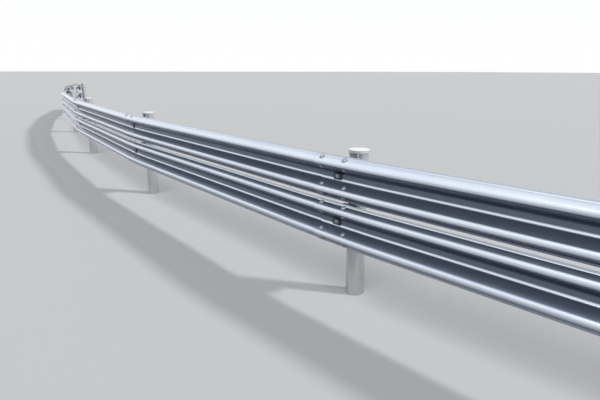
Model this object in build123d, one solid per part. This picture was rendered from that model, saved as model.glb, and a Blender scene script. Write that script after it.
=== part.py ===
"""Highway guardrail section: two W-beam rails, one above the other, on round steel posts.

Six bays follow the outside of a curve. The origin is the middle of the middle post, at
ground level. X runs along the rail there, Z points up, and the traffic side faces -Y.
"""
from build123d import *
from math import atan2, cos, degrees, hypot, radians, sin, tan
import os

# Line of the guardrail
BAY_COUNT = 6
BAY_LENGTH = 4000.0
BAY_TURN = 4.8
MIDDLE_STATION = BAY_COUNT / 2

# Height of the lower rail's middle above the ground, and what stands above it
LOWER_RAIL_HEIGHT = 600.0
RAIL_GAP = 20.0
CAP_ABOVE_RAIL = 15.0

# Rolled rail section
RAIL_THICKNESS = 4.0
RAIL_HEIGHT = 310.0
RAIL_DEPTH = 85.0
CREST_SPACING = 192.0
WEB_ANGLE = 55.0
BEND_RADIUS = 24.0
LIP_BEND_RADIUS = 10.0
LIP_HEIGHT = 16.0
LIP_ANGLE = 10.0

# Lapped splice, centred on each post
LAP_LENGTH = 320.0
LAP_CLEARANCE = 0.4
PANEL_BEND_AT = 300.0
PANEL_BEND_RADIUS = 5000.0

# Slots at both ends of a rail. They are wide enough for one bolt through two nested rails.
SPLICE_BOLT_SPACING = 220.0
SPLICE_SLOT_LENGTH = 30.0
SPLICE_SLOT_WIDTH = 24.0
SPLICE_SLOT_OFFSET = 32.0
BLOCK_SLOT_LENGTH = 64.0
BLOCK_SLOT_WIDTH = 20.0

# Post and cap
POST_DIAMETER = 140.0
POST_WALL = 4.5
CAP_THICKNESS = 3.0
CAP_SKIRT = 22.0
CAP_CLEARANCE = 2.0
CAP_CHAMFER = 1.5

# Block-out, a six-sided tube that stands upright between post and rail
BLOCK_HEIGHT = 200.0
BLOCK_WIDTH = 196.0
BLOCK_DEPTH = 140.0
BLOCK_WALL = 4.5
BLOCK_FRONT_WIDTH = 110.0
BLOCK_BACK_WIDTH = 124.0
BLOCK_SEAT_DEPTH = 18.0
BLOCK_CORNER_RADIUS = 8.0

# Bolt holes in the block-outs and posts
RAIL_BOLT_HOLE = 18.0
POST_BOLT_HOLE = 22.0

# Sizes that follow from the ones above
UPPER_RAIL_HEIGHT = LOWER_RAIL_HEIGHT + RAIL_HEIGHT + RAIL_GAP
CAP_TOP_HEIGHT = UPPER_RAIL_HEIGHT + RAIL_HEIGHT / 2 + CAP_ABOVE_RAIL
POST_RADIUS = POST_DIAMETER / 2
POST_HEIGHT = CAP_TOP_HEIGHT - CAP_THICKNESS
RAIL_OFFSET = POST_RADIUS + BLOCK_DEPTH - BLOCK_SEAT_DEPTH
LAP_STEP = (RAIL_THICKNESS + LAP_CLEARANCE) / cos(radians(WEB_ANGLE))
WEB_SLOPE = tan(radians(WEB_ANGLE))
MIDDLE_BEND = BEND_RADIUS + RAIL_THICKNESS / 2
# The middle lines of two webs meet beyond their crest, because the crest is round.
CREST_CORNER = RAIL_THICKNESS / 2 - RAIL_DEPTH - MIDDLE_BEND * (1 / cos(radians(WEB_ANGLE)) - 1)


def corners_beside(corners, distance):
    """Corners of the line that runs at a fixed distance to the right of a given line."""
    headings = []
    for start, end in zip(corners, corners[1:]):
        headings.append(atan2(end[1] - start[1], end[0] - start[0]))
    before = [headings[0]] + headings
    after = headings + [headings[-1]]
    beside = []
    for corner, first, last in zip(corners, before, after):
        across = (first + last) / 2
        reach = distance / cos((last - first) / 2)
        beside.append((corner[0] + reach * sin(across), corner[1] - reach * cos(across)))
    return beside


def rail_section():
    """Section of the W-beam. Its first axis is depth, with the back of the valley at zero."""
    valley = -RAIL_THICKNESS / 2
    bend = MIDDLE_BEND
    lip_bend = LIP_BEND_RADIUS + RAIL_THICKNESS / 2
    crest_height = CREST_SPACING / 2
    valley_height = crest_height - (valley - CREST_CORNER) / WEB_SLOPE
    lip_height = RAIL_HEIGHT / 2 - LIP_HEIGHT
    lip = CREST_CORNER + (lip_height - crest_height) * WEB_SLOPE
    lip_end = lip + LIP_HEIGHT * tan(radians(LIP_ANGLE))
    upper = [
        (lip_end, RAIL_HEIGHT / 2),
        (lip, lip_height),
        (CREST_CORNER, crest_height),
        (valley, valley_height),
    ]
    middle_line = upper + [(depth, -height) for depth, height in reversed(upper)]
    # At a crest the traffic side is the outer one, at a valley or a lip the inner one.
    turns = [0, -1, 1, -1, -1, 1, -1, 0]
    radii = [0, lip_bend, bend, bend, bend, bend, lip_bend, 0]
    half = RAIL_THICKNESS / 2
    outline = []
    rounding = []
    for side in (-1, 1):
        edge = corners_beside(middle_line, side * half)
        sizes = [radius + side * turn * half for radius, turn in zip(radii, turns)]
        if side > 0:
            edge = edge[::-1]
            sizes = sizes[::-1]
        outline += edge
        rounding += sizes
    section = Polygon(*outline, align=None)
    for corner, radius in zip(outline, rounding):
        if radius > half:
            vertex = section.vertices().sort_by_distance((corner[0], corner[1], 0))[0]
            section = fillet(vertex, radius)
    return section


def bay_heading(bay):
    """Direction of a bay from its left post to its right one, in degrees."""
    return (bay + 0.5 - MIDDLE_STATION) * BAY_TURN


def station_heading(station):
    """Direction of the splice at a post, halfway between its two bays."""
    return (station - MIDDLE_STATION) * BAY_TURN


def along(point, heading, distance):
    """Point at a distance from another one, in the plan."""
    return (
        point[0] + distance * cos(radians(heading)),
        point[1] + distance * sin(radians(heading)),
    )


def rail_line_points():
    """Point where the back of the rail meets the block-out, at each post."""
    start = (0.0, -RAIL_OFFSET)
    middle = int(MIDDLE_STATION)
    points = {middle: start}
    for station in range(middle, BAY_COUNT):
        points[station + 1] = along(points[station], bay_heading(station), BAY_LENGTH)
    for station in range(middle, 0, -1):
        points[station - 1] = along(points[station], bay_heading(station - 1), -BAY_LENGTH)
    return points


def place_at_post(shape, station, height):
    """Move a shape from the origin to a post. Its own -Y faces the traffic."""
    heading = station_heading(station)
    x, y = along(rail_points[station], heading + 90, RAIL_OFFSET)
    return Pos(x, y, height) * Rot(Z=heading) * shape


def section_plane(point, heading):
    """Plane across the rail, with its first axis towards the back."""
    across = along((0, 0), heading + 90, 1)
    forward = along((0, 0), heading, 1)
    return Plane(
        origin=(point[0], point[1], 0),
        x_dir=(across[0], across[1], 0),
        z_dir=(forward[0], forward[1], 0),
    )


def rail_panel(step, section, cutters):
    """One rail of a bay, with its right post at the origin and the bay along X.

    It is straight at both splices and between them, with a gentle bend beside each. The step
    is how far its left end stands out, to lie over the rail before it. The cutters make the
    slots of one splice, so they are used at each end.
    """
    left = -BAY_TURN / 2
    right = BAY_TURN / 2
    left_post = along((-BAY_LENGTH, 0), left + 90, -step)
    start = along(left_post, left, -LAP_LENGTH / 2)
    first = along(left_post, left, PANEL_BEND_AT)
    last = along((0, 0), right, -PANEL_BEND_AT)
    end = along((0, 0), right, LAP_LENGTH / 2)
    middle = degrees(atan2(last[1] - first[1], last[0] - first[0]))
    corners = [start, first, last, end]
    headings = [left, middle, right]
    turns = [middle - left, right - middle]
    cuts = [PANEL_BEND_RADIUS * tan(radians(turn) / 2) for turn in turns]
    before = [0.0] + cuts
    after = cuts + [0.0]
    pieces = []
    for number, heading in enumerate(headings):
        here = corners[number]
        there = corners[number + 1]
        length = hypot(there[0] - here[0], there[1] - here[1]) - before[number] - after[number]
        origin = along(here, heading, before[number])
        forward = along((0, 0), heading, 1)
        face = section_plane(origin, heading) * section
        pieces.append(extrude(face, length, dir=(forward[0], forward[1], 0)))
        if number < len(turns):
            bend_start = along(there, heading, -cuts[number])
            centre = along(bend_start, heading + 90, PANEL_BEND_RADIUS)
            axis = Axis((centre[0], centre[1], 0), (0, 0, 1))
            face = section_plane(bend_start, heading) * section
            pieces.append(revolve(face, axis, turns[number]))
    panel = pieces[0].fuse(*pieces[1:]).clean()
    for cutter in cutters:
        panel -= Pos(left_post[0], left_post[1]) * Rot(Z=left) * cutter
        panel -= Rot(Z=right) * cutter
    return panel.solid()


def splice_slots():
    """Slots around one post, as cutters that reach through the webs and the valley."""
    web_depth = CREST_CORNER + SPLICE_SLOT_OFFSET * WEB_SLOPE
    cutters = []
    for side in (-1, 1):
        for web in (-1, 1):
            for crest in (-1, 1):
                across = crest * (CREST_SPACING / 2 + web * SPLICE_SLOT_OFFSET)
                slot = SlotOverall(SPLICE_SLOT_LENGTH, SPLICE_SLOT_WIDTH)
                cutter = extrude(slot, SPLICE_SLOT_WIDTH, both=True)
                cutter = Rot(X=90 - web * crest * WEB_ANGLE) * cutter
                cutters.append(Pos(side * SPLICE_BOLT_SPACING / 2, web_depth, across) * cutter)
    slot = SlotOverall(BLOCK_SLOT_LENGTH, BLOCK_SLOT_WIDTH)
    cutters.append(Rot(X=90) * extrude(slot, RAIL_THICKNESS * 2, both=True))
    return cutters


def bolt_hole(diameter, length):
    """Cutter for a bolt across the guardrail, running back from the origin."""
    return Rot(X=-90) * extrude(Circle(diameter / 2), length)


def post():
    """Round steel tube, from the ground up to the underside of its cap."""
    bore = Circle(POST_RADIUS - POST_WALL)
    tube = extrude(Circle(POST_RADIUS) - bore, POST_HEIGHT)
    for height in (LOWER_RAIL_HEIGHT, UPPER_RAIL_HEIGHT):
        tube -= Pos(0, -POST_DIAMETER, height) * bolt_hole(POST_BOLT_HOLE, POST_DIAMETER * 2)
    return tube


def post_cap():
    """Pressed steel cap that closes the post, with a skirt around it."""
    inside = POST_RADIUS + CAP_CLEARANCE
    outside = inside + CAP_THICKNESS
    cap = Cylinder(outside, CAP_SKIRT, align=(Align.CENTER, Align.CENTER, Align.MAX))
    cap = chamfer(cap.edges().sort_by(Axis.Z)[-1], CAP_CHAMFER)
    hollow = Cylinder(inside, CAP_SKIRT, align=(Align.CENTER, Align.CENTER, Align.MAX))
    return cap - Pos(0, 0, -CAP_THICKNESS) * hollow


def block_outline(inset):
    """Plan of the block-out. The inset gives the inside of its wall."""
    front = -POST_RADIUS - BLOCK_DEPTH + BLOCK_SEAT_DEPTH
    back = front + BLOCK_DEPTH
    middle = (front + back) / 2
    outline = Polygon(
        (-BLOCK_FRONT_WIDTH / 2, front),
        (BLOCK_FRONT_WIDTH / 2, front),
        (BLOCK_WIDTH / 2, middle),
        (BLOCK_BACK_WIDTH / 2, back),
        (-BLOCK_BACK_WIDTH / 2, back),
        (-BLOCK_WIDTH / 2, middle),
        align=None,
    )
    outline = fillet(outline.vertices(), BLOCK_CORNER_RADIUS)
    if inset > 0:
        outline = offset(outline, -inset)
    return outline - Circle(POST_RADIUS + inset)


def block_out():
    """Six-sided tube with a flat front for the rail and a hollow back for the post."""
    wall = block_outline(0) - block_outline(BLOCK_WALL)
    tube = extrude(wall, BLOCK_HEIGHT / 2, both=True)
    half = BLOCK_DEPTH / 2
    tube -= Pos(0, -RAIL_OFFSET - half) * bolt_hole(RAIL_BOLT_HOLE, BLOCK_DEPTH)
    return tube - Pos(0, -RAIL_OFFSET + half) * bolt_hole(POST_BOLT_HOLE, BLOCK_DEPTH)


def save(shape, name):
    """Write one piece to its own file."""
    shape.label = name
    export_step(shape, os.path.join("parts", name + ".step"))


os.makedirs("parts", exist_ok=True)
rail_points = rail_line_points()
section = rail_section()
plain_post = post()
plain_cap = post_cap()
plain_block = block_out()
rail_heights = {"lower": LOWER_RAIL_HEIGHT, "upper": UPPER_RAIL_HEIGHT}

for station in range(BAY_COUNT + 1):
    number = str(station + 1)
    save(place_at_post(plain_post, station, 0), "post_" + number)
    save(place_at_post(plain_cap, station, CAP_TOP_HEIGHT), "post_cap_" + number)
    for level, height in rail_heights.items():
        save(place_at_post(plain_block, station, height), level + "_block_out_" + number)

slot_cutters = splice_slots()
end_rail = rail_panel(0.0, section, slot_cutters)
inner_rail = rail_panel(LAP_STEP, section, slot_cutters)

for bay in range(BAY_COUNT):
    rail = end_rail if bay == 0 else inner_rail
    x, y = rail_points[bay + 1]
    for level, height in rail_heights.items():
        save(Pos(x, y, height) * Rot(Z=bay_heading(bay)) * rail, level + "_rail_" + str(bay + 1))
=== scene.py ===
"""Looks of a double-layer highway guardrail: fasteners, galvanised finishes, light and camera.

The file is laid out as an add-on and run as a script. The frame holds posts, caps, block-outs
and rails; this file adds the bolts, nuts and washers that hold them together. Sizes are in metres.
"""
from itertools import product
from math import cos, pi, radians, sin

import bmesh
import bpy
from bpy.props import FloatProperty, FloatVectorProperty, PointerProperty
from mathutils import Matrix, Vector


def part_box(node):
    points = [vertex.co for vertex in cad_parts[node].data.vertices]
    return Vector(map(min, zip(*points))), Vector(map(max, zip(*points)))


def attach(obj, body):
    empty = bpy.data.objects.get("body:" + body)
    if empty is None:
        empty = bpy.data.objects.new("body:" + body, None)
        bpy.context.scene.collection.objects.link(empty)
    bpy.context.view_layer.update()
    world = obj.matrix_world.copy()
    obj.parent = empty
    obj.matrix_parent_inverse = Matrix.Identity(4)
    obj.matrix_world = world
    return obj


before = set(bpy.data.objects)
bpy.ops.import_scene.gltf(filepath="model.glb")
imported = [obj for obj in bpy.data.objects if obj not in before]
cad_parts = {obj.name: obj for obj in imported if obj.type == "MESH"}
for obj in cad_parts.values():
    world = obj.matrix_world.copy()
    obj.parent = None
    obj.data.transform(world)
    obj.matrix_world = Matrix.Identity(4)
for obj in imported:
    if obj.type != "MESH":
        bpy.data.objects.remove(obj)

bl_info = {
    "name": "Highway Guardrail Looks",
    "version": (1, 0, 0),
    "blender": (4, 5, 0),
    "location": "View3D > Sidebar > Guardrail",
    "description": "Adds fasteners, galvanised finishes, light and camera to a guardrail",
    "category": "Object",
}

POSTS = 7
LEVELS = ("lower", "upper")
POST_LOW, POST_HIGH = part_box("post_4")
BLOCK_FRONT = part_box("upper_block_out_4")[0].y

BUTTON_RIM = 0.22  # share of a button head's height that stands upright
BUTTON_STEPS = 6
BUTTON_SEGMENTS = 24
NUT_CHAMFER = 0.0012
SHANK_CHAMFER = 0.15  # share of a shank's radius
SHANK_SEGMENTS = 16
WASHER_CHAMFER = 0.25  # share of a washer's thickness
WASHER_SEGMENTS = 28
SMOOTH_ANGLE = radians(35)

SHANK_SUNK = 0.0005  # how far a shank end starts inside its nut
NUT_HEIGHT = 0.013
WASHER_THICKNESS = 0.003
SPLICE_WASHER_RADIUS = 0.017
SPLICE_SHANK_END = 0.007
BLOCK_WASHER_TO_NUT = 0.7  # washer radius under a block bolt's nut, to the nut's width
BLOCK_SHANK_END = 0.009

PLATE_GAP = 0.0021  # the flat plate rests on the valley's bends, clear of its floor
PLATE_CORNER = 0.006
PLATE_EDGE = 0.0006

POST_WASHER_RADIUS = 0.0185
POST_WASHER_THICKNESS = 0.0055
POST_WASHER_SUNK = 0.0025  # a flat washer against the round post
POST_NUT_WIDTH = 0.030
POST_NUT_HEIGHT = 0.016
POST_HEAD_HEIGHT = 0.0125
POST_SHANK_RADIUS = 0.010
POST_SHANK_END = 0.010

STREAKS_LENGTHWAYS = (0.5, 0.5, 60.0)  # rolled along the rail, so they change with height
STREAKS_UPRIGHT = (55.0, 55.0, 0.8)

KEY_SPREAD = radians(6)
KEY_DIRECTION = (0.60, 0.62, 0.75)
FRONT_SPREAD = radians(45)
FRONT_DIRECTION = (0.32, -0.50, 0.80)
PICTURE_WIDTH = 600
FLOOR_HALF = 400.0
FLOOR_DROP = 0.001  # keeps the floor just under the posts' feet


class GuardrailSizes(bpy.types.PropertyGroup):
    """Sizes of the fasteners, and where they sit on the rails."""

    bay_turn: FloatProperty(
        name="Turn at each post",
        description="How far the guardrail turns from one bay to the next",
        default=radians(4.8),
        subtype="ANGLE",
    )
    rail_offset: FloatProperty(
        name="Rail offset",
        description="From the middle of a post to the back of the rail's valley",
        default=-BLOCK_FRONT,
        unit="LENGTH",
    )
    rail_thickness: FloatProperty(
        name="Rail thickness",
        description="Thickness of the rail's sheet",
        default=0.004,
        unit="LENGTH",
    )
    lap_step: FloatProperty(
        name="Lap step",
        description="How far the outer rail of a splice stands out from the inner one",
        default=0.00767,
        unit="LENGTH",
    )
    web_angle: FloatProperty(
        name="Web angle",
        description="Slope of the rail's webs, from upright",
        default=radians(55),
        subtype="ANGLE",
    )
    web_depth: FloatProperty(
        name="Web depth",
        description="From the back of the valley to the web's middle line at the bolts",
        default=0.0566,
        unit="LENGTH",
    )
    crest_height: FloatProperty(
        name="Crest height",
        description="Height of a crest above or below the middle of its rail",
        default=0.096,
        unit="LENGTH",
    )
    bolt_offset: FloatProperty(
        name="Bolt offset",
        description="Height of a splice bolt above or below its crest",
        default=0.032,
        unit="LENGTH",
    )
    bolt_spacing: FloatProperty(
        name="Bolt spacing",
        description="Distance between the two columns of splice bolts",
        default=0.220,
        unit="LENGTH",
    )
    head_radius: FloatProperty(
        name="Head radius",
        description="Radius of a splice bolt's button head",
        default=0.0175,
        unit="LENGTH",
    )
    head_height: FloatProperty(
        name="Head height",
        description="Height of a splice bolt's button head",
        default=0.009,
        unit="LENGTH",
    )
    nut_width: FloatProperty(
        name="Nut width",
        description="Width across the flats of a splice nut",
        default=0.024,
        unit="LENGTH",
    )
    shank_radius: FloatProperty(
        name="Shank radius",
        description="Radius of a splice bolt's shank",
        default=0.008,
        unit="LENGTH",
    )
    plate_length: FloatProperty(
        name="Plate length",
        description="Length of the washer plate under a block bolt, along the rail",
        default=0.076,
        unit="LENGTH",
    )
    plate_height: FloatProperty(
        name="Plate height",
        description="Height of the washer plate under a block bolt",
        default=0.044,
        unit="LENGTH",
    )
    plate_thickness: FloatProperty(
        name="Plate thickness",
        description="Thickness of the washer plate under a block bolt",
        default=0.004,
        unit="LENGTH",
    )
    post_radius: FloatProperty(
        name="Post radius",
        description="Outside radius of a post",
        default=(POST_HIGH.x - POST_LOW.x) / 2,
        unit="LENGTH",
    )
    block_wall: FloatProperty(
        name="Block-out wall",
        description="Wall thickness of a block-out",
        default=0.0045,
        unit="LENGTH",
    )


class GuardrailFinish(bpy.types.PropertyGroup):
    """Colours of the galvanised steel, with the painted shade of the rails' hollows and washer
    plates.
    """

    rail_colour: FloatVectorProperty(
        name="Rail",
        description="Zinc colour of the rails",
        default=(0.76, 0.83, 0.94),
        subtype="COLOR",
        min=0,
        max=1,
    )
    # Painted shade, not a zinc colour: it multiplies the rails' colour in hollows and under
    # downward faces.
    rail_painted_shade: FloatVectorProperty(
        name="Rail painted shade",
        description="Shade by which the rails' colour is multiplied in their hollows",
        default=(0.132, 0.154, 0.20),
        subtype="COLOR",
        min=0,
        max=1,
    )
    post_colour: FloatVectorProperty(
        name="Post",
        description="Zinc colour of the posts",
        default=(0.70, 0.72, 0.745),
        subtype="COLOR",
        min=0,
        max=1,
    )
    cap_colour: FloatVectorProperty(
        name="Cap",
        description="Zinc colour of the caps",
        default=(0.78, 0.80, 0.81),
        subtype="COLOR",
        min=0,
        max=1,
    )
    block_colour: FloatVectorProperty(
        name="Block-out",
        description="Zinc colour of the block-outs",
        default=(0.46, 0.50, 0.545),
        subtype="COLOR",
        min=0,
        max=1,
    )
    bolt_colour: FloatVectorProperty(
        name="Bolts",
        description="Zinc colour of bolts and nuts",
        default=(0.34, 0.36, 0.39),
        subtype="COLOR",
        min=0,
        max=1,
    )
    # Zinc darkened with painted shade, to about the rails' colour in their painted hollows where
    # the plates sit.
    plate_shaded_colour: FloatVectorProperty(
        name="Washer plates",
        description="Dark zinc of the washer plates",
        default=(0.085, 0.097, 0.115),
        subtype="COLOR",
        min=0,
        max=1,
    )


class GuardrailStage(bpy.types.PropertyGroup):
    """Camera, lamps and floor."""

    camera_place: FloatVectorProperty(
        name="Camera place",
        description="Where the camera stands",
        default=(10.7802, -1.4918, 1.6455),
        subtype="TRANSLATION",
        unit="LENGTH",
    )
    camera_heading: FloatProperty(
        name="Camera heading",
        description="Direction the camera looks in, from the X axis",
        default=radians(149.599),
        subtype="ANGLE",
    )
    camera_dip: FloatProperty(
        name="Camera dip",
        description="How far the camera looks down",
        default=radians(14.555),
        subtype="ANGLE",
    )
    camera_roll: FloatProperty(
        name="Camera roll",
        description="Turn of the camera about its own axis",
        default=radians(0.167),
        subtype="ANGLE",
    )
    lens: FloatProperty(
        name="Lens",
        description="Focal length in pixels of a picture 600 pixels wide",
        default=501.44,
    )
    key_strength: FloatProperty(
        name="Key light",
        description="Strength of the key light from behind the rails",
        default=2.0,
    )
    front_strength: FloatProperty(
        name="Front light",
        description="Strength of the broad soft light from above the front",
        default=2.15,
    )
    sky_strength: FloatProperty(
        name="Sky light",
        description="Strength of the light from all round",
        default=0.28,
    )
    floor_colour: FloatVectorProperty(
        name="Floor",
        description="Colour of the plain floor",
        default=(0.46, 0.463, 0.47),
        subtype="COLOR",
        min=0,
        max=1,
    )
    floor_shade: FloatVectorProperty(
        name="Floor shade",
        description="Colour of the floor in the light that it throws back",
        default=(0.12, 0.12, 0.12),
        subtype="COLOR",
        min=0,
        max=1,
    )


def place_at_post(number, height=0.0):
    """Place of a post's own frame, with its -Y towards the rails."""
    low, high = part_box(f"post_{number}")
    middle = (low + high) / 2
    turn = bpy.context.scene.guardrail_sizes.bay_turn * (number - (POSTS + 1) / 2)
    return Matrix.Translation((middle.x, middle.y, height)) @ Matrix.Rotation(turn, 4, "Z")


def level_height(level):
    """Height of the middle of a rail."""
    low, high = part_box(f"{level}_block_out_1")
    return (low.z + high.z) / 2


def facing(point, direction):
    """Place with Z along a direction."""
    turn = Vector(direction).to_track_quat("Z", "X").to_matrix().to_4x4()
    return Matrix.Translation(point) @ turn


def raised(place, height):
    """Place further along its own Z."""
    return place @ Matrix.Translation((0, 0, height))


def set_down(bm, verts, place):
    """Move new geometry from the origin to its place."""
    bmesh.ops.transform(bm, matrix=place, verts=verts)


def turned(bm, profile, segments):
    """Turn a profile of (radius, height) points about Z into a closed solid."""
    verts = [bm.verts.new((radius, 0, height)) for radius, height in profile]
    edges = [bm.edges.new(pair) for pair in zip(verts, verts[1:])]
    before = set(bm.verts) - set(verts)
    bmesh.ops.spin(
        bm,
        geom=verts + edges,
        cent=(0, 0, 0),
        axis=(0, 0, 1),
        angle=2 * pi,
        steps=segments,
        use_merge=True,
    )
    made = [vert for vert in bm.verts if vert not in before]
    bmesh.ops.remove_doubles(bm, verts=made, dist=1e-6)
    made = [vert for vert in bm.verts if vert not in before]
    faces = dict.fromkeys(face for vert in made for face in vert.link_faces)
    bmesh.ops.recalc_face_normals(bm, faces=list(faces))
    return made


def chamfered_disc(bm, radius, height, chamfer, segments):
    """Round solid on Z zero with its outer edge taken off."""
    rim = [(radius, 0), (radius, height - chamfer), (radius - chamfer, height)]
    return turned(bm, [(0, 0), *rim, (0, height)], segments)


def button_head(bm, place, radius, height):
    """Low domed bolt head with a small upright rim."""
    dome = 1 - BUTTON_RIM
    profile = [(0, 0), (radius, 0), (radius, height * BUTTON_RIM)]
    for step in range(1, BUTTON_STEPS):
        angle = step / BUTTON_STEPS * pi / 2
        profile.append((radius * cos(angle), height * (BUTTON_RIM + dome * sin(angle))))
    profile.append((0, height))
    set_down(bm, turned(bm, profile, BUTTON_SEGMENTS), place)


def hexagon(bm, place, width, height):
    """Hexagon nut or bolt head with the corners of its outer face taken off."""
    radius = width / 2 / cos(pi / 6)
    made = bmesh.ops.create_cone(
        bm,
        cap_ends=True,
        cap_tris=False,
        segments=6,
        radius1=radius,
        radius2=radius,
        depth=height,
        matrix=Matrix.Translation((0, 0, height / 2)),
    )["verts"]
    top = {vert for vert in made if vert.co.z > height / 2}
    edges = [edge for edge in bm.edges if top.issuperset(edge.verts)]
    cut = bmesh.ops.bevel(
        bm,
        geom=edges,
        offset=NUT_CHAMFER,
        offset_type="OFFSET",
        affect="EDGES",
        segments=2,
        profile=0.5,
        material=-1,
    )
    left = [vert for vert in made if vert.is_valid]
    set_down(bm, list(dict.fromkeys(left + cut["verts"])), place)


def round_washer(bm, place, radius, thickness):
    """Round washer, closed in the middle because its bolt fills it."""
    verts = chamfered_disc(bm, radius, thickness, thickness * WASHER_CHAMFER, WASHER_SEGMENTS)
    set_down(bm, verts, place)


def shank_end(bm, place, radius, height):
    """End of a shank that stands out of its nut, with its edge taken off."""
    verts = chamfered_disc(bm, radius, height, radius * SHANK_CHAMFER, SHANK_SEGMENTS)
    set_down(bm, verts, place)


def nut_and_shank(bm, place, washer, nut, shank):
    """Washer, nut and shank end on one another, each given as its width or radius and height."""
    round_washer(bm, place, *washer)
    hexagon(bm, raised(place, washer[1]), *nut)
    shank_end(bm, raised(place, washer[1] + nut[1] - SHANK_SUNK), *shank)


def sort_by(elements, key):
    """Sort the verts, edges or faces of a mesh by a key of any kind."""
    places = {element: place for place, element in enumerate(sorted(elements, key=key))}
    elements.sort(key=places.get)


def put_in_order(bm):
    """Order a mesh by position, because bevels leave another order in each run."""
    sort_by(bm.verts, lambda vert: vert.co[:])
    bm.verts.index_update()
    for elements in (bm.edges, bm.faces):
        sort_by(elements, lambda element: sorted(vert.index for vert in element.verts))


def piece(bm, name, material):
    """Make a mesh into a piece of the guardrail."""
    mesh = bpy.data.meshes.new(name)
    put_in_order(bm)
    bm.to_mesh(mesh)
    bm.free()
    obj = bpy.data.objects.new(name, mesh)
    bpy.context.scene.collection.objects.link(obj)
    for polygon in mesh.polygons:
        polygon.use_smooth = True
    mesh.set_sharp_from_angle(angle=SMOOTH_ANGLE)
    mesh.materials.append(material)
    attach(obj, "root")


class Nodes:
    """Short way to fill a node tree."""

    def __init__(self, tree):
        self.tree = tree
        tree.nodes.clear()

    def add(self, kind, inputs=None, **settings):
        """Add a node, and set each of its inputs to a value or link it to another node's output."""
        node = self.tree.nodes.new(kind)
        for key, value in settings.items():
            setattr(node, key, value)
        for key, value in (inputs or {}).items():
            if isinstance(value, bpy.types.NodeSocket):
                self.tree.links.new(value, node.inputs[key])
            else:
                node.inputs[key].default_value = value
        return node

    def maths(self, operation, *values):
        """One step of arithmetic on values or outputs."""
        node = self.add("ShaderNodeMath", dict(enumerate(values)), operation=operation)
        return node.outputs["Value"]

    def spread(self, value, low, high, to_low=0.0, to_high=1.0, interpolation_type="LINEAR"):
        """Spread a range of values over another range, and hold it at both ends."""
        node = self.add(
            "ShaderNodeMapRange",
            {
                "Value": value,
                "From Min": low,
                "From Max": high,
                "To Min": to_low,
                "To Max": to_high,
            },
            interpolation_type=interpolation_type,
        )
        return node.outputs["Result"]

    def mix(self, factor, first, second, blend_type="MIX"):
        """Mix of two colours."""
        inputs = {"Factor": factor, "A": first, "B": second}
        node = self.add("ShaderNodeMix", inputs, data_type="RGBA", blend_type=blend_type)
        return node.outputs["Result"]


def scaled(colour, factor, lift=0.0):
    """Colour made lighter or darker, no channel past one, with its alpha."""
    return (*[min(1, channel * factor + lift) for channel in colour], 1)


def seen_ray(nodes):
    """One for rays that show the floor or backdrop as a picture, zero for the light they throw."""
    rays = nodes.add("ShaderNodeLightPath").outputs
    mirrored = nodes.maths("MAXIMUM", rays["Is Camera Ray"], rays["Is Glossy Ray"])
    return nodes.maths("MAXIMUM", mirrored, rays["Is Transmission Ray"])


def zinc_pattern(nodes, place, run):
    """Fine streaks along the steel, with a little of the zinc's crystals in them."""
    crystal_share = 0.2
    ragged_edge = (0.008, 0.008, 0.008)
    jitter = nodes.add("ShaderNodeTexNoise", {"Vector": place, "Scale": 120.0})
    edge = nodes.add(
        "ShaderNodeVectorMath",
        {0: jitter.outputs["Color"], 1: ragged_edge, 2: place},
        operation="MULTIPLY_ADD",
    )
    crystals = nodes.add(
        "ShaderNodeTexVoronoi", {"Vector": edge.outputs["Vector"], "Scale": 95.0}, feature="F1"
    )
    crystal = nodes.add("ShaderNodeSeparateColor", {"Color": crystals.outputs["Color"]})
    stretch = nodes.add("ShaderNodeMapping", {"Vector": place, "Scale": run})
    streaks = nodes.add(
        "ShaderNodeTexNoise", {"Vector": stretch.outputs["Vector"], "Scale": 1.0, "Detail": 4.0}
    )
    return nodes.maths(
        "MULTIPLY_ADD", crystal.outputs["Red"], crystal_share, streaks.outputs["Fac"]
    )


def dull_patches(nodes, place):
    """Broad patches where the zinc has gone dull, from zero to one."""
    bloom = nodes.add(
        "ShaderNodeTexNoise", {"Vector": place, "Scale": 2.2, "Detail": 6.0, "Roughness": 0.6}
    )
    return nodes.spread(bloom.outputs["Fac"], low=0.42, high=0.72)


def painted_light_mask(nodes, painted_bend_highlight):
    """Mask for painted light: one where the zinc keeps its colour, zero where painted shade goes in
    hollows.

    With a bend highlight, faces that look down also get painted shade, and bends that look partly
    up
    are kept bright as a painted highlight: fully near bend_slope, the height of the normal, less
    further off.
    """
    bend_slope = 0.43
    # Painted shade in recesses, placed by ambient occlusion.
    painted_hollow_shade = nodes.add("ShaderNodeAmbientOcclusion", {"Distance": 0.40}, samples=16)
    open_part = nodes.spread(painted_hollow_shade.outputs["AO"], low=0.74, high=1.0)
    normal = nodes.add("ShaderNodeNewGeometry").outputs["Normal"]
    slope = nodes.add("ShaderNodeSeparateXYZ", {"Vector": normal}).outputs["Z"]
    # Painted shade under faces that look down.
    under = nodes.spread(slope, low=-0.75, high=-0.25, to_low=1.0 - painted_bend_highlight)
    open_side = nodes.maths("MULTIPLY", open_part, under)
    from_bend = nodes.maths("ABSOLUTE", nodes.maths("SUBTRACT", slope, bend_slope))
    # Painted highlight: bends that look partly up are kept bright.
    bend = nodes.spread(
        from_bend, low=0.445, high=0.10, to_high=painted_bend_highlight, interpolation_type="SMOOTHSTEP"
    )
    return nodes.maths("MAXIMUM", open_side, bend)


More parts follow.
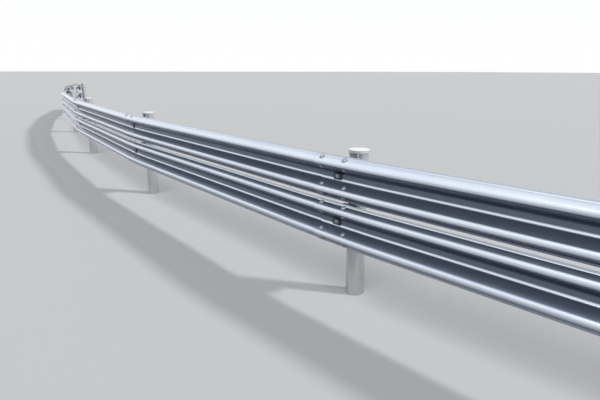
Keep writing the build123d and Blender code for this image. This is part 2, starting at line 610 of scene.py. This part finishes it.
def zinc_surface(nodes, place):
    """Normal of sheet that is slightly wavy and very finely grained."""
    swell = nodes.add("ShaderNodeTexNoise", {"Vector": place, "Scale": 9.0, "Detail": 1.0})
    waves = nodes.add(
        "ShaderNodeBump", {"Strength": 0.2, "Distance": 0.003, "Height": swell.outputs["Fac"]}
    )
    speck = nodes.add("ShaderNodeTexNoise", {"Vector": place, "Scale": 320.0, "Detail": 3.0})
    grain = nodes.add(
        "ShaderNodeBump",
        {
            "Strength": 0.006,
            "Distance": 0.0006,
            "Height": speck.outputs["Fac"],
            "Normal": waves.outputs["Normal"],
        },
    )
    return grain.outputs["Normal"]


def galvanised(
    name,
    colour,
    roughness=0.21,
    metallic=0.7,
    run=STREAKS_LENGTHWAYS,
    painted_hollow_shade=(0.8, 0.8, 0.8),
    painted_bend_highlight=0.0,
):
    """Hot-dip zinc: streaks, crystals, dull patches, slight waves, painted shade and a painted bend
    highlight.
    """
    streak_contrast = 0.03
    smoothest, roughest = roughness - 0.02, roughness + 0.03
    patch_share = 0.3
    patch_roughness = 0.05
    material = bpy.data.materials.get(name) or bpy.data.materials.new(name)
    material.use_nodes = True
    nodes = Nodes(material.node_tree)
    place = nodes.add("ShaderNodeTexCoord").outputs["Object"]

    pattern = zinc_pattern(nodes, place, run)
    patches = dull_patches(nodes, place)
    zinc = nodes.mix(
        nodes.spread(pattern, low=0.35, high=0.85),
        scaled(colour, 1 - streak_contrast),
        scaled(colour, 1 + streak_contrast),
    )
    weathered = scaled(colour, 1.15, lift=0.03)
    pale = nodes.mix(nodes.maths("MULTIPLY", patches, patch_share), zinc, weathered)
    # Painted shade: the zinc multiplied by the shade colour, for hollows and faces that look down.
    painted_shade_zinc = nodes.mix(1.0, pale, (*painted_hollow_shade, 1), blend_type="MULTIPLY")
    gloss = nodes.spread(pattern, low=0.35, high=0.85, to_low=smoothest, to_high=roughest)
    shader = nodes.add(
        "ShaderNodeBsdfPrincipled",
        {
            "Base Color": nodes.mix(painted_light_mask(nodes, painted_bend_highlight), painted_shade_zinc, pale),
            "Metallic": metallic,
            "Roughness": nodes.maths("MULTIPLY_ADD", patches, patch_roughness, gloss),
            "Normal": zinc_surface(nodes, place),
        },
    )
    nodes.add("ShaderNodeOutputMaterial", {"Surface": shader.outputs["BSDF"]})
    return material


def made_finish(name):
    """Finish that the finishes operator has made."""
    material = bpy.data.materials.get(name)
    if material is None:
        raise RuntimeError(f"The finish {name} is missing: run Galvanised finishes first")
    return material


class GUARDRAIL_OT_finishes(bpy.types.Operator):
    """Give every post, cap, block-out and rail its galvanised finish, with painted shade and
    highlights
    """

    bl_idname = "guardrail.finishes"
    bl_label = "Galvanised finishes"

    def execute(self, context):
        finish = context.scene.guardrail_finish
        # The rails get the darkest painted shade and a painted highlight on their bends.
        rail = galvanised(
            "rail zinc with painted light", finish.rail_colour, painted_hollow_shade=finish.rail_painted_shade, painted_bend_highlight=1.0
        )
        post = galvanised(
            "post zinc", finish.post_colour, roughness=0.22, metallic=0.75, run=STREAKS_UPRIGHT
        )
        cap = galvanised(
            "cap zinc", finish.cap_colour, roughness=0.42, metallic=0.5, run=STREAKS_UPRIGHT
        )
        block = galvanised(
            "block-out zinc", finish.block_colour, roughness=0.34, run=STREAKS_UPRIGHT
        )
        galvanised("bolt zinc", finish.bolt_colour, roughness=0.50)
        galvanised("plate zinc with painted shade", finish.plate_shaded_colour, roughness=0.50)
        for name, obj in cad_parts.items():
            if "rail" in name:
                material = rail
            elif "block_out" in name:
                material = block
            elif "cap" in name:
                material = cap
            else:
                material = post
            obj.data.materials.clear()
            obj.data.materials.append(material)
        return {"FINISHED"}


class GUARDRAIL_OT_splice_bolts(bpy.types.Operator):
    """Add the eight button-head bolts and nuts of every lapped splice"""

    bl_idname = "guardrail.splice_bolts"
    bl_label = "Splice bolts"

    def execute(self, context):
        steel = made_finish("bolt zinc")
        for level in LEVELS:
            for number in range(2, POSTS):
                bm = bmesh.new()
                post = place_at_post(number, level_height(level))
                for column, crest, web in product((-1, 1), repeat=3):
                    self.fasten(bm, context.scene.guardrail_sizes, post, column, crest, web)
                piece(bm, f"{level}_splice_bolts_{number}", steel)
        return {"FINISHED"}

    def fasten(self, bm, sizes, post, column, crest, web):
        """One bolt through both rails: head in front, nut and shank end behind."""
        half = (sizes.rail_thickness + sizes.lap_step * cos(sizes.web_angle)) / 2
        out = Vector((0, -cos(sizes.web_angle), crest * web * sin(sizes.web_angle)))
        middle = Vector(
            (
                column * sizes.bolt_spacing / 2,
                -sizes.rail_offset - sizes.web_depth - sizes.lap_step / 2,
                crest * (sizes.crest_height + web * sizes.bolt_offset),
            )
        )
        front = post @ facing(middle + out * half, out)
        button_head(bm, front, sizes.head_radius, sizes.head_height)
        nut_and_shank(
            bm,
            post @ facing(middle - out * half, -out),
            washer=(SPLICE_WASHER_RADIUS, WASHER_THICKNESS),
            nut=(sizes.nut_width, NUT_HEIGHT),
            shank=(sizes.shank_radius, SPLICE_SHANK_END),
        )


class GUARDRAIL_OT_block_bolts(bpy.types.Operator):
    """Add the bolt and washer plate that hold each rail to its block-out"""

    bl_idname = "guardrail.block_bolts"
    bl_label = "Block bolts"

    def execute(self, context):
        steel = made_finish("bolt zinc")
        dark = made_finish("plate zinc with painted shade")
        sizes = context.scene.guardrail_sizes
        for level in LEVELS:
            for number in range(1, POSTS + 1):
                post = place_at_post(number, level_height(level))
                lapped = sizes.lap_step if 1 < number < POSTS else 0.0
                steel_front = -sizes.rail_offset - sizes.rail_thickness - lapped
                plate = post @ facing((0, steel_front - PLATE_GAP, 0), (0, -1, 0))
                bm = bmesh.new()
                self.washer_plate(bm, sizes, plate)
                piece(bm, f"{level}_washer_plate_{number}", dark)
                bm = bmesh.new()
                head = raised(plate, sizes.plate_thickness)
                button_head(bm, head, sizes.head_radius, sizes.head_height)
                nut_and_shank(
                    bm,
                    post @ facing((0, -sizes.rail_offset + sizes.block_wall, 0), (0, 1, 0)),
                    washer=(sizes.nut_width * BLOCK_WASHER_TO_NUT, WASHER_THICKNESS),
                    nut=(sizes.nut_width, NUT_HEIGHT),
                    shank=(sizes.shank_radius, BLOCK_SHANK_END),
                )
                piece(bm, f"{level}_block_bolt_{number}", steel)
        return {"FINISHED"}

    def washer_plate(self, bm, sizes, place):
        """Rectangular washer with rounded corners, long side along the rail."""
        verts = bmesh.ops.create_cube(bm, size=1.0)["verts"]
        size = (sizes.plate_height, sizes.plate_length, sizes.plate_thickness)
        bmesh.ops.scale(bm, vec=size, verts=verts)
        bmesh.ops.translate(bm, vec=(0, 0, sizes.plate_thickness / 2), verts=verts)
        middle = sizes.plate_thickness / 2
        corners = [edge for edge in bm.edges if len({v.co.z > middle for v in edge.verts}) == 2]
        self.rounded(bm, corners, PLATE_CORNER, 4)
        rim = [edge for edge in bm.edges if min(v.co.z for v in edge.verts) > middle]
        self.rounded(bm, rim, PLATE_EDGE, 2)
        set_down(bm, list(bm.verts), place)

    def rounded(self, bm, edges, radius, segments):
        """Round some edges of the plate."""
        bmesh.ops.bevel(
            bm,
            geom=edges,
            offset=radius,
            offset_type="OFFSET",
            affect="EDGES",
            segments=segments,
            profile=0.5,
            material=-1,
        )


class GUARDRAIL_OT_post_bolts(bpy.types.Operator):
    """Add the long bolts that hold the block-outs to the posts"""

    bl_idname = "guardrail.post_bolts"
    bl_label = "Post bolts"

    def execute(self, context):
        steel = made_finish("bolt zinc")
        sizes = context.scene.guardrail_sizes
        washer = (POST_WASHER_RADIUS, POST_WASHER_THICKNESS)
        for number in range(1, POSTS + 1):
            bm = bmesh.new()
            for level in LEVELS:
                post = place_at_post(number, level_height(level))
                inside = -sizes.post_radius - sizes.block_wall + POST_WASHER_SUNK
                front = post @ facing((0, inside, 0), (0, -1, 0))
                round_washer(bm, front, *washer)
                head = raised(front, POST_WASHER_THICKNESS)
                hexagon(bm, head, POST_NUT_WIDTH, POST_HEAD_HEIGHT)
                nut_and_shank(
                    bm,
                    post @ facing((0, sizes.post_radius - POST_WASHER_SUNK, 0), (0, 1, 0)),
                    washer=washer,
                    nut=(POST_NUT_WIDTH, POST_NUT_HEIGHT),
                    shank=(POST_SHANK_RADIUS, POST_SHANK_END),
                )
            piece(bm, f"post_bolts_{number}", steel)
        return {"FINISHED"}


class GUARDRAIL_OT_stage(bpy.types.Operator):
    """Add the plain floor, soft studio light and camera"""

    bl_idname = "guardrail.stage"
    bl_label = "Stage"

    def execute(self, context):
        scene = context.scene
        stage = scene.guardrail_stage
        self.floor(scene, stage)
        self.backdrop(scene, stage)
        self.sun(scene, "key light", stage.key_strength, KEY_SPREAD, KEY_DIRECTION)
        self.sun(scene, "front light", stage.front_strength, FRONT_SPREAD, FRONT_DIRECTION)
        self.camera(scene, stage)
        scene.view_settings.view_transform = "Standard"
        return {"FINISHED"}

    def floor(self, scene, stage):
        """Plain pale floor under the posts' feet."""
        material = bpy.data.materials.new("studio floor")
        material.use_nodes = True
        nodes = Nodes(material.node_tree)
        shade = (*stage.floor_shade, 1)
        shader = nodes.add(
            "ShaderNodeBsdfPrincipled",
            {
                "Base Color": nodes.mix(seen_ray(nodes), shade, (*stage.floor_colour, 1)),
                "Roughness": 0.9,
                "Specular IOR Level": 0.2,
            },
        )
        nodes.add("ShaderNodeOutputMaterial", {"Surface": shader.outputs["BSDF"]})
        bm = bmesh.new()
        bmesh.ops.create_grid(bm, x_segments=1, y_segments=1, size=FLOOR_HALF)
        bmesh.ops.translate(bm, vec=(0, 0, -FLOOR_DROP), verts=bm.verts)
        mesh = bpy.data.meshes.new("floor")
        bm.to_mesh(mesh)
        bm.free()
        mesh.materials.append(material)
        floor = bpy.data.objects.new("floor", mesh)
        scene.collection.objects.link(floor)

    def backdrop(self, scene, stage):
        """White backdrop where it is seen or mirrored, and softer light from all round."""
        world = scene.world or bpy.data.worlds.new("studio")
        scene.world = world
        world.use_nodes = True
        nodes = Nodes(world.node_tree)
        direction = nodes.add("ShaderNodeTexCoord").outputs["Generated"]
        height = nodes.add("ShaderNodeSeparateXYZ", {"Vector": direction}).outputs["Z"]
        seen_stops = ((0.0, (1.0, 1.0, 1.0)), (0.34, (0.96, 0.98, 1.0)), (0.84, (0.94, 0.97, 1.0)))
        seen = self.sky(nodes, height, seen_stops, 1.0)
        lit_stops = ((0.0, (0.8, 0.8, 0.8)), (0.35, (0.94, 0.97, 1.0)))
        lit = self.sky(nodes, height, lit_stops, stage.sky_strength)
        sky = nodes.add("ShaderNodeMixShader", {"Fac": seen_ray(nodes), 1: lit, 2: seen})
        nodes.add("ShaderNodeOutputWorld", {"Surface": sky.outputs["Shader"]})

    def sky(self, nodes, height, stops, strength):
        """Background that goes through some colours from the horizon up."""
        ramp = nodes.add("ShaderNodeValToRGB", {"Fac": height})
        elements = ramp.color_ramp.elements
        for index, (position, colour) in enumerate(stops):
            element = elements[index] if index < len(elements) else elements.new(position)
            element.position = position
            element.color = (*colour, 1)
        sky = nodes.add(
            "ShaderNodeBackground", {"Color": ramp.outputs["Color"], "Strength": strength}
        )
        return sky.outputs["Background"]

    def sun(self, scene, name, strength, angle, direction):
        """Lamp that lights the object and shows in its gloss, but not to the camera."""
        data = bpy.data.lights.new(name, "SUN")
        data.energy = strength
        data.angle = angle
        light = bpy.data.objects.new(name, data)
        light.visible_camera = False
        light.rotation_euler = Vector(direction).to_track_quat("Z", "Y").to_euler()
        scene.collection.objects.link(light)

    def camera(self, scene, stage):
        """Camera where the photograph was taken from."""
        data = bpy.data.cameras.new("camera")
        camera = bpy.data.objects.new("camera", data)
        scene.collection.objects.link(camera)
        data.sensor_width = 36.0
        data.lens = stage.lens / PICTURE_WIDTH * data.sensor_width
        data.clip_start = 0.05
        data.clip_end = 500.0
        heading, dip, roll = stage.camera_heading, stage.camera_dip, stage.camera_roll
        look = Vector((cos(heading) * cos(dip), sin(heading) * cos(dip), -sin(dip)))
        level = Vector((sin(heading), -cos(heading), 0))
        above = level.cross(look)
        right = level * cos(roll) + above * sin(roll)
        up = above * cos(roll) - level * sin(roll)
        axes = Matrix((right, up, -look)).transposed().to_4x4()
        camera.matrix_world = Matrix.Translation(stage.camera_place) @ axes
        scene.camera = camera


class GUARDRAIL_PT_tools(bpy.types.Panel):
    """Lists the guardrail's operators and settings"""

    bl_label = "Guardrail"
    bl_idname = "GUARDRAIL_PT_tools"
    bl_space_type = "VIEW_3D"
    bl_region_type = "UI"
    bl_category = "Guardrail"

    def draw(self, context):
        for operator in OPERATORS:
            self.layout.operator(operator.bl_idname)
        for group in ("guardrail_sizes", "guardrail_finish", "guardrail_stage"):
            box = self.layout.box()
            settings = getattr(context.scene, group)
            for key in settings.__annotations__:
                box.prop(settings, key)


OPERATORS = (
    GUARDRAIL_OT_finishes,
    GUARDRAIL_OT_splice_bolts,
    GUARDRAIL_OT_block_bolts,
    GUARDRAIL_OT_post_bolts,
    GUARDRAIL_OT_stage,
)
CLASSES = (GuardrailSizes, GuardrailFinish, GuardrailStage, *OPERATORS, GUARDRAIL_PT_tools)


def register():
    """Make the classes and their settings known to Blender."""
    for cls in CLASSES:
        bpy.utils.register_class(cls)
    bpy.types.Scene.guardrail_sizes = PointerProperty(type=GuardrailSizes)
    bpy.types.Scene.guardrail_finish = PointerProperty(type=GuardrailFinish)
    bpy.types.Scene.guardrail_stage = PointerProperty(type=GuardrailStage)


def unregister():
    """Take the settings and classes out again."""
    for name in ("guardrail_stage", "guardrail_finish", "guardrail_sizes"):
        delattr(bpy.types.Scene, name)
    for cls in reversed(CLASSES):
        bpy.utils.unregister_class(cls)


def main():
    """Register, and make every piece, finish and the stage."""
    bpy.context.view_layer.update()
    register()
    bpy.ops.guardrail.finishes()
    bpy.ops.guardrail.splice_bolts()
    bpy.ops.guardrail.block_bolts()
    bpy.ops.guardrail.post_bolts()
    bpy.ops.guardrail.stage()


if __name__ == "__main__":
    main()
